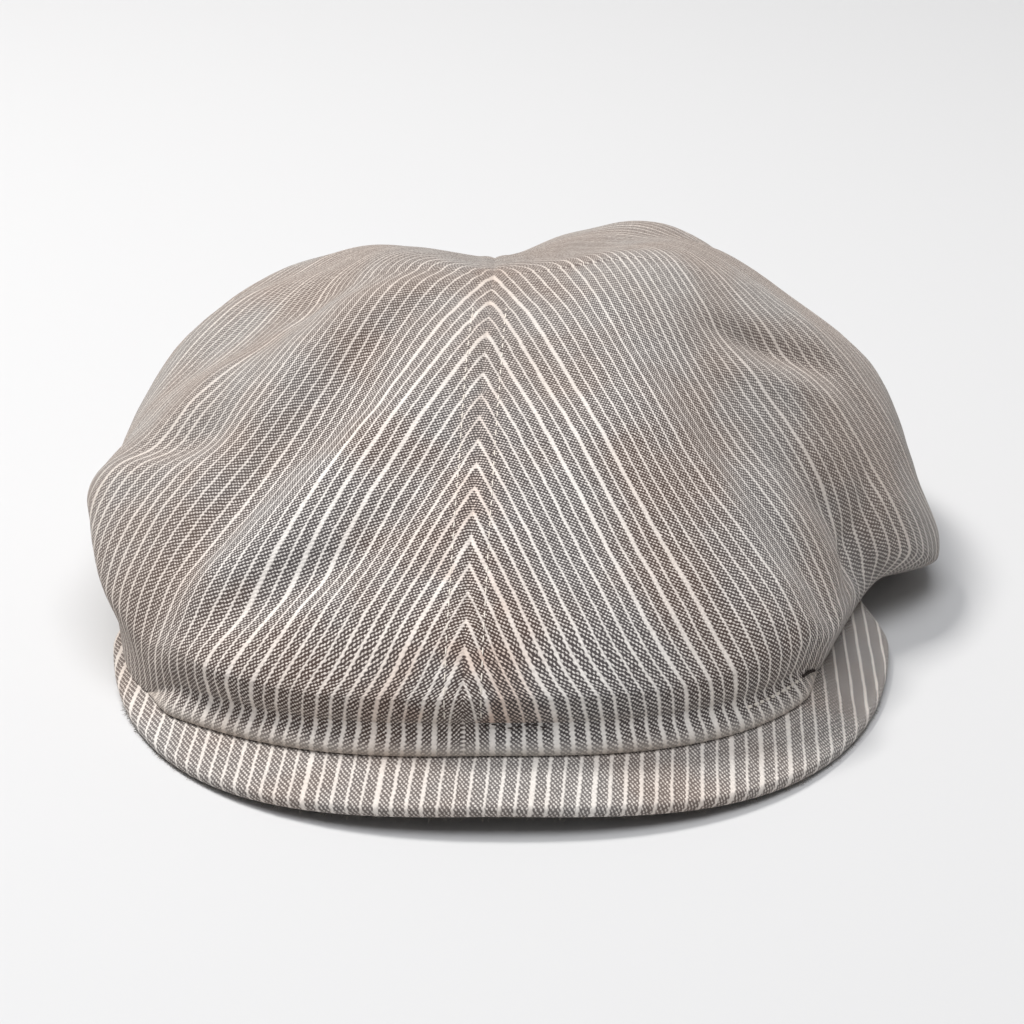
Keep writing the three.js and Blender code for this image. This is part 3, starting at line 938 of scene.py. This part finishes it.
def crown_stain(points):
    """How stained the crown is: beside the front seam, wider and stronger at its foot."""
    beside = nearest(points, FRONT_SEAM)[0]
    foot = bell(points[..., 2], *STAIN_HEIGHT)
    width = STAIN_WIDTH[0] + STAIN_WIDTH[1] * foot
    return bell(beside, 0, width) * (STAIN_SHARES[0] + STAIN_SHARES[1] * foot)


def crown_half(name, node_name, side, material):
    """One half of the crown's cloth. side is 1 right, -1 left. Gives its cloth places and turns."""
    turns = half_turns(side, np.linspace(0, 1, TURNS + 1) ** SEAM_CROWDING)
    rises = np.linspace(0, 1, RISES + 1)
    angle, rise = np.meshgrid(turns, rises)
    points = cloth_crown(angle, rise)
    points[-1] = points[-1].mean(0)
    places, size, area = cloth_places(side, turns, rises)

    obj = grid_object(name, points)
    mesh = obj.data
    set_cloth_map(mesh, places)
    set_attribute(mesh, "wear_and_painted_light", crown_wear(angle, rise))
    set_attribute(mesh, "stain", crown_stain(points))
    work = merged(mesh)
    if side < 0:
        bmesh.ops.reverse_faces(work, faces=work.faces)
    thicken(work)
    work.to_mesh(mesh)
    work.free()
    smooth_faces(obj, material)
    mesh.set_sharp_from_angle(angle=math.radians(SHARP_EDGE))
    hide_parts(node_name)
    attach(obj, "root")
    return places, turns


def closed_sweep(name, sections, places, wear_and_painted_light, material):
    """A closed body swept through rings of points.

    sections is (steps, ring, 3), places (steps, ring + 1, 2), and the last argument (steps, ring) from 0
    to 1 is how far the cloth is dulled, for wear and for painted light and shade.
    """
    obj = grid_object(name, np.concatenate([sections, sections[:, :1]], 1))
    set_cloth_map(obj.data, places)
    set_attribute(obj.data, "wear_and_painted_light", np.concatenate([wear_and_painted_light, wear_and_painted_light[:, :1]], 1))
    work = merged(obj.data)
    bmesh.ops.holes_fill(work, edges=[edge for edge in work.edges if edge.is_boundary])
    bmesh.ops.recalc_face_normals(work, faces=work.faces)
    work.to_mesh(obj.data)
    work.free()
    smooth_faces(obj, material)
    return obj


def peak_ring(angle):
    """A ring of points out over the peak's top, round its edge and back, with their flat places."""
    radius = PEAK_THICK / 2
    inner = ring(angle, PEAK_HALF_WIDTH - HORN_WIDTH, OPENING_FRONT - HORN_FRONT, OVAL)
    inner_x, inner_y = peak_point(angle, inner)
    rim_x, rim_y = peak_point(angle, peak_reach(angle) - radius)
    rim = np.array([rim_x, rim_y])
    out = np.array([math.sin(math.radians(angle)), -math.cos(math.radians(angle))])
    share = np.linspace(0, 1, PEAK_TOP_ROWS)
    x, y = mix(inner_x, rim_x, share), mix(inner_y, rim_y, share)
    z = peak_top(x, y)
    turned = np.linspace(0, math.pi, PEAK_EDGE_ROWS)[1:-1]
    edge = np.stack([
        rim_x + radius * np.sin(turned) * out[0],
        rim_y + radius * np.sin(turned) * out[1],
        peak_top(rim_x, rim_y) - radius + radius * np.cos(turned),
    ], -1)
    top = np.stack([x, y, z], -1)
    bottom = np.stack([x, y, z - PEAK_THICK], -1)[::-1]
    flat_top = np.stack([x, y], -1)
    flat_edge = rim + (turned * radius)[:, None] * out
    flat_bottom = rim + math.pi * radius * out + (rim - flat_top[::-1])
    flat = np.concatenate([flat_top, flat_edge, flat_bottom])
    run_out = flat[-1:] + (flat[-1:] - flat[-2:-1])
    return np.concatenate([top, edge, bottom]), np.concatenate([flat, run_out])


def make_peak(material):
    """The peak: a stiff board in cloth."""
    rings = [peak_ring(angle) for angle in np.linspace(-PEAK_END, PEAK_END, PEAK_TURNS + 1)]
    points = np.array([ring_points for ring_points, _ in rings])
    flat = np.array([ring_flat for _, ring_flat in rings])
    # The stripes lean to the left at the left end, and hardly at the right one
    x, y = flat[..., 0], flat[..., 1] + PEAK_FRONT
    lean = PEAK_LEAN - np.clip(x, -PEAK_HALF_WIDTH, PEAK_HALF_WIDTH) / PEAK_HALF_WIDTH * PEAK_FAN
    across = x - y * np.tan(np.radians(lean))
    along = PEAK_ALONG * (y + x * math.tan(math.radians(PEAK_LEAN)))
    places = np.stack([across, along], -1)
    obj = closed_sweep("peak_board", points, places, np.ones(points.shape[:2]), material)
    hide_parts("peak")
    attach(obj, "root")


def curve_between(pulls, rows):
    """Points on a Bezier curve from the first of four places to the last, drawn to the two between."""
    step = np.linspace(0, 1, rows)[:, None]
    weights = [(1 - step) ** 3, 3 * step * (1 - step) ** 2, 3 * step ** 2 * (1 - step), step ** 3]
    return sum(weight * pull for weight, pull in zip(weights, pulls))


def band_ring(angle):
    """A ring of points down the band's front, round its lip and up its back."""
    at = np.array([angle]), np.array([0.0])
    _, up, outward = (vector.reshape(3) for vector in directions(crown, *at))
    top = crown(*at)[0]
    # Towards its ends the band gets narrower with the gap that it fills
    share = np.clip((top[2] - peak_top(top[0], top[1]) - GAP) / BAND_TALL, LEAST_BAND, 1)
    level = unit(np.array([outward[0], outward[1], 0]))
    upright = np.array([0, 0, 1])
    radius = LIP_RADIUS * share
    lip = top + level * BAND_FLARE * share
    lip[2] = peak_top(lip[0], lip[1]) + GAP + radius
    below_top = top - up * TOP_PULL * share
    above_lip = lip + share * (level * LIP_PULL_OUT + upright * LIP_PULL_UP)
    front = curve_between([top, below_top, above_lip, lip], BAND_ROWS)
    roll = np.linspace(0, math.pi, ROLL_ROWS)[1:, None]
    rolled = lip - level * radius * (1 - np.cos(roll)) - upright * radius * np.sin(roll)
    back = top - level * BAND_DEEP * max(share, LEAST_DEEP)
    return np.concatenate([front, rolled, back[None]])


def make_band(left_rim, right_rim, material):
    """The band: the cloth between the crown and the peak, rounded like a rolled hem.

    Each rim is the cloth places along a half's sewn edge, in the order of their angles, and those
    angles, so that the crown's stripes run on down the band.
    """
    points, flat = [], []
    for angle in np.linspace(-BAND_REACH, BAND_REACH, BAND_TURNS + 1):
        places, turns = left_rim if angle < SEAM_TURN else right_rim
        across, along = (np.interp(angle, turns, column) for column in places.T)
        ring_points = band_ring(angle)
        lengths = np.append(run_lengths(ring_points), 0)
        lengths[-1] = lengths[-2] + BACK_RUN
        points.append(ring_points)
        flat.append(np.stack([np.full_like(lengths, across), along - lengths], -1))
    points = np.array(points)
    # Near the peak the band is dulled to a pale brownish grey: painted light that lifts a face the lamps
    # leave dark, and painted shade in the crease above the peak
    above = points[..., 2] - peak_top(points[..., 0], points[..., 1])
    wear_and_painted_light = 1 - smooth(LIP_RADIUS, LIP_PAINTED_LIGHT_HEIGHT, above)
    obj = closed_sweep("hem_band", points, np.array(flat), wear_and_painted_light, material)
    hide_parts("front_band")
    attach(obj, "root")


def stitches(name, line, length, step, thick, material):
    """A row of stitches along a line of places, given with the outward direction at each."""
    points, outwards = line
    run = run_lengths(points)
    work = bmesh.new()
    for along in np.arange(step / 2, run[-1], step):
        middle, before, after, out = (
            np.array([np.interp(place, run, column) for column in values.T])
            for place, values in (
                (along, points), (along - STITCH_SPAN, points), (along + STITCH_SPAN, points),
                (along, outwards),
            )
        )
        forward = unit(after - before)
        aside = unit(np.cross(out, forward))
        out = np.cross(forward, aside)
        axes = np.stack([aside * thick, forward * length / 2, out * thick], 1)
        laid = Matrix(axes.tolist()).to_4x4()
        laid.translation = Vector(middle + SHIFT + STITCH_LIES * thick * out)
        bmesh.ops.create_uvsphere(
            work, u_segments=STITCH_SIDES, v_segments=STITCH_RINGS, radius=1, matrix=laid,
        )
    for vertex in work.verts:
        vertex.co *= MM
    obj = as_object(name, work)
    smooth_faces(obj, material)
    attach(obj, "root")


def on_hem(angles, rises):
    """Places along the crown's rim, raised from it up the cloth, or below 0 down the band."""
    angles, rises = np.broadcast_arrays(np.asarray(angles, float), np.asarray(rises, float))
    _, up, outward = directions(crown, angles, np.zeros_like(angles))
    out = HEM_OUT + HEM_FLARE * np.maximum(0, -rises)
    return crown(angles, np.zeros_like(angles)) + up * rises[:, None] + out[:, None] * outward, outward


def beside_seam(side):
    """The line TOPSTITCH beside the front seam, on one side of it."""
    rises = np.linspace(*STITCHED_RISES, 160)
    radii = np.linalg.norm(crown(SEAM_TURN, rises)[:, :2], axis=-1)
    angles = SEAM_TURN + side * np.degrees(TOPSTITCH / radii)
    return cloth_crown(angles, rises), directions(crown, angles, rises)[2]


def edge_fibres(material):
    """Loose fibres that hang from the peak's lower edge."""
    draw = np.random.default_rng(11)
    work = bmesh.new()
    for angle in draw.uniform(*FIBRE_ANGLES, FIBRES):
        length = draw.uniform(*FIBRE_LONG)
        x, y = peak_point(angle, peak_reach(angle) - FIBRE_SUNK)
        place = np.array([x, y, peak_top(x, y) - draw.uniform(*FIBRE_DEPTH) * PEAK_THICK])
        outward = np.array([math.sin(math.radians(angle)), -math.cos(math.radians(angle)), 0])
        heading = unit(outward + draw.normal(size=3) * FIBRE_SPREAD + FIBRE_HANG)
        laid = Vector(heading).to_track_quat("Z", "Y").to_matrix().to_4x4()
        laid.translation = Vector((place + heading * length / 2 + SHIFT) * MM)
        bmesh.ops.create_cone(
            work, cap_ends=True, segments=4, radius1=FIBRE_THICK * MM,
            radius2=FIBRE_TIP * FIBRE_THICK * MM, depth=length * MM, matrix=laid,
        )
    obj = as_object("edge_fibres", work)
    smooth_faces(obj, material)
    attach(obj, "root")


def thread(name, code):
    """Matt sewing cotton or loose fibre of one colour."""
    material, _, shader = new_material(name, 0.85)
    shader.inputs["Base Color"].default_value = to_linear(code)
    shader.inputs["Specular IOR Level"].default_value = 0.2
    return material


def make_stage():
    """A pale floor that rises behind into a backdrop."""
    work = bmesh.new()
    bmesh.ops.create_grid(work, x_segments=8, y_segments=60, size=1)
    whole_run = FLOOR_DEPTH + FLOOR_FRONT + WALL_RISE
    bend = FLOOR_DEPTH + FLOOR_BEND
    for vertex in work.verts:
        run = (vertex.co.y + 1) / 2 * whole_run
        over = max(0.0, run - bend)
        turn = min(over / BEND_RADIUS, math.pi / 2)
        y = min(run, bend) + BEND_RADIUS * math.sin(turn)
        z = BEND_RADIUS * (1 - math.cos(turn)) + max(0.0, over - BEND_RADIUS * math.pi / 2)
        vertex.co = (vertex.co.x * STAGE_HALF_WIDTH, y - FLOOR_FRONT, z)
    obj = as_object("backdrop", work)
    # Matt paper, a little darker than the photograph's floor, which the lamps then bring up to it
    material, _, shader = new_material("matt_paper", 0.9)
    shader.inputs["Base Color"].default_value = to_linear("#d1d1d1")
    smooth_faces(obj, material)


def area_light(name, place, target, size, power, colour):
    """A square lamp of a size in metres and a power in watts, that shines on a target."""
    data = bpy.data.lights.new(name, "AREA")
    data.size, data.energy, data.color = size, power, to_linear(colour)[:3]
    lamp = bpy.data.objects.new(name, data)
    bpy.context.collection.objects.link(lamp)
    lamp.location = place
    lamp.rotation_euler = (Vector(target) - Vector(place)).to_track_quat("-Z", "Y").to_euler()


def make_lights():
    """A soft lamp from the upper left behind, a wide one from above, and a pale room."""
    area_light("key", (-0.7, 0.42, 1.5), (0, 0, 0.04), 0.42, 24, "#fffdfb")
    area_light("fill", (0.0, -0.5, 1.9), (0, 0, 0.05), 1.3, 23.5, "#fbfcff")
    world = bpy.context.scene.world or bpy.data.worlds.new("studio")
    bpy.context.scene.world = world
    world.use_nodes = True
    room = world.node_tree.nodes["Background"]
    room.inputs["Color"].default_value = to_linear("#f8fbff")
    room.inputs["Strength"].default_value = 0.19


def make_camera():
    """A long lens that looks at the cap's front from a little above, as the photograph does."""
    data = bpy.data.cameras.new("camera")
    data.lens, data.sensor_width = 125, 36
    data.clip_start, data.clip_end = 0.05, 20
    camera = bpy.data.objects.new("camera", data)
    bpy.context.collection.objects.link(camera)
    target = Vector(CAMERA_TARGET)
    elevation = math.radians(CAMERA_ELEVATION)
    towards = Vector((0, -math.cos(elevation), math.sin(elevation)))
    camera.location = target + towards * CAMERA_DISTANCE
    camera.rotation_euler = (target - camera.location).to_track_quat("-Z", "Y").to_euler()
    bpy.context.scene.camera = camera


# Worn striped cotton on the crown, with brownish marks by the centre seam
crown_cotton = striped_cloth("crown_cotton", STRIPE_PITCH, stain=0.9, fade=0.3)
# The same cotton on the rolled band, painted paler and brownish towards the peak: painted light that
# lifts its shaded face, and painted shade in the crease above the peak
band_cotton = striped_cloth(
    "band_cotton", STRIPE_PITCH, stain=0.4, fade=0.55, wider=0.14, wear_and_painted_light_tone=0.78,
)
# The same cotton glued tight over the peak's board, so its ribs stand out, evenly rubbed
peak_cotton = striped_cloth(
    "peak_cotton", PEAK_PITCH, stain=0.0, fade=0.17, rib=0.22, wider=0.09, wear_and_painted_light_tone=0.7,
)
# Pale sewing cotton, a little yellowed
pale_thread = thread("pale_thread", "#e9e1d6")
# Dark grey sewing cotton, for the mending stitches and for the painted shade beside the bar tack
dark_thread_and_shade = thread("dark_thread_and_shade", "#3b3431")
# Grey cotton fibre, rubbed loose
loose_fibre = thread("loose_fibre", "#8f867e")

right_places, right_turns = crown_half("crown_panel_right", "crown_right", 1, crown_cotton)
left_places, left_turns = crown_half("crown_panel_left", "crown_left", -1, crown_cotton)
make_peak(peak_cotton)
left_rim = left_places[0][::-1], left_turns[::-1]
make_band(left_rim, (right_places[0], right_turns), band_cotton)
edge_fibres(loose_fibre)
for side_name, side in (("right", 1), ("left", -1)):
    line = beside_seam(side)
    stitches("seam_stitches_" + side_name, line, STITCH_LONG, SEAM_STEP, STITCH_THICK, pale_thread)

# The rows on the hem: how far round, how far up, and each stitch's length, step and thickness
tack_turns = np.linspace(40, 43, 6)
mending_turns = np.linspace(-1, 6, 12)
mending_rises = 0.4 * np.sin(np.arange(12)) - 0.4
for name, turns, rises, length, step, thick, material in (
    ("hem_stitches", np.linspace(29, 40, 20), -2.0, 1.5, 2.2, 0.42, pale_thread),
    ("bar_tack", tack_turns, np.linspace(-2.6, -0.8, 6), 1.2, 1.5, 0.36, pale_thread),
    # A row of dark thread laid beside the pale bar tack as painted shade
    ("bar_tack_shade", tack_turns, np.linspace(-1.4, 0.6, 6), 1.8, 1.6, 0.42, dark_thread_and_shade),
    ("mending", mending_turns, mending_rises, 1.6, 2.0, 0.24, dark_thread_and_shade),
):
    stitches(name, on_hem(turns, rises), length, step, thick, material)

make_stage()
make_lights()
make_camera()
bpy.context.scene.view_settings.view_transform = "Standard"
